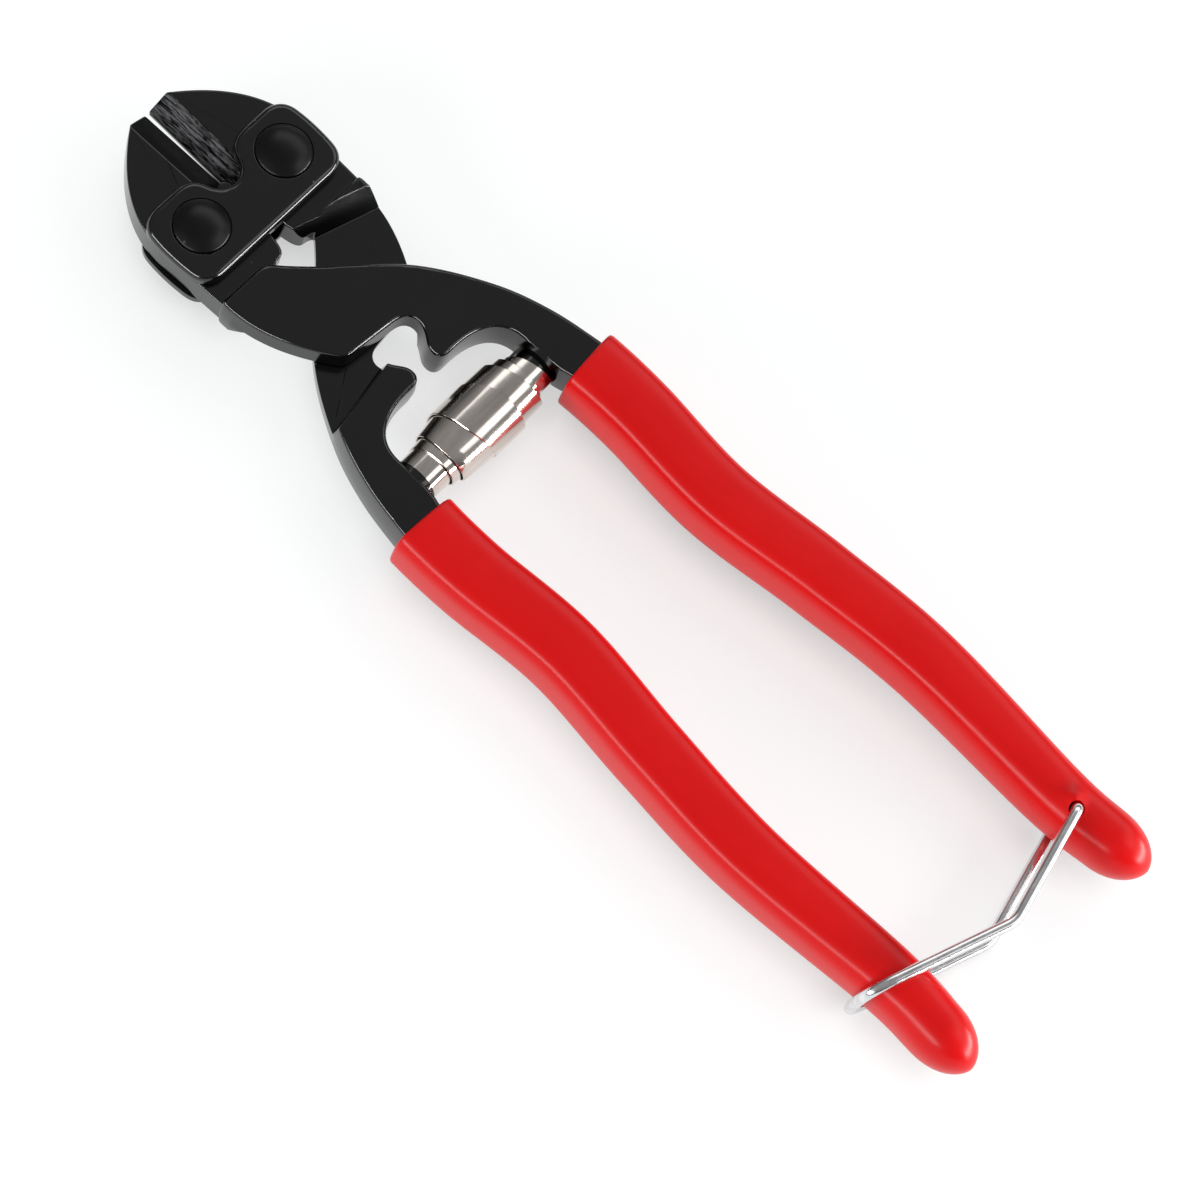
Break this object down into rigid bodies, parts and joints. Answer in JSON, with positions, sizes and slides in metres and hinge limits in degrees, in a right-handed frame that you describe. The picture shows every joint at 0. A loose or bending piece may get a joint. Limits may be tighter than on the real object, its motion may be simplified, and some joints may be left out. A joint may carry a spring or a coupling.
{
  "type": "mini bolt cutters",
  "caption": "Compact bolt cutters with black forged crossing levers, riveted side plates, a volute return spring, red dipped grips and a swinging wire latch.",
  "frame": {"origin": "midway between the two pivot rivets, on the outer face of the rear side plate", "axes": "+X along the tool from the pivots to the handle ends, +Y across it towards the handle that carries the latch, +Z out of the front side plate; the blades meet on y = 0"},
  "size_m": [0.2079, 0.06, 0.0179],
  "materials": {
    "black_enamel": "gloss black enamel over forged steel, ground bright on the cutting bevels",
    "red_vinyl": "gloss dipped vinyl",
    "nickel": "polished, warm nickel",
    "bright_steel": "bright drawn wire"
  },
  "bodies": {
    "head": {"front_plate": "black_enamel", "rear_plate": "black_enamel", "rivet_a": "black_enamel", "rivet_b": "black_enamel", "spring": "nickel"},
    "lever_a": {"lever_a": "black_enamel", "grip_a": "red_vinyl"},
    "lever_b": {"lever_b": "black_enamel", "grip_b": "red_vinyl"},
    "latch": {"latch_wire": "bright_steel"}
  },
  "joints": [
    {"name": "lever_a_pivot", "type": "hinge", "parent": "head", "child": "lever_a", "pos_m": [0, -0.0099, 0.00565], "axis": [0, 0, 1], "range_deg": [-1.1, 9], "deforming": ["spring", "latch_wire"]},
    {"name": "lever_b_pivot", "type": "hinge", "parent": "head", "child": "lever_b", "pos_m": [0, 0.0099, 0.00565], "axis": [0, 0, 1], "range_deg": [-9, 1.1]},
    {"name": "latch_swing", "type": "hinge", "parent": "lever_a", "child": "latch", "pos_m": [0.1705, 0.0202, 0.00565], "axis": [0, 0, 1], "range_deg": [0, 105]}
  ],
  "couplings": [
    {"joint": "lever_b_pivot", "follows": "lever_a_pivot", "ratio": -1}
  ]
}
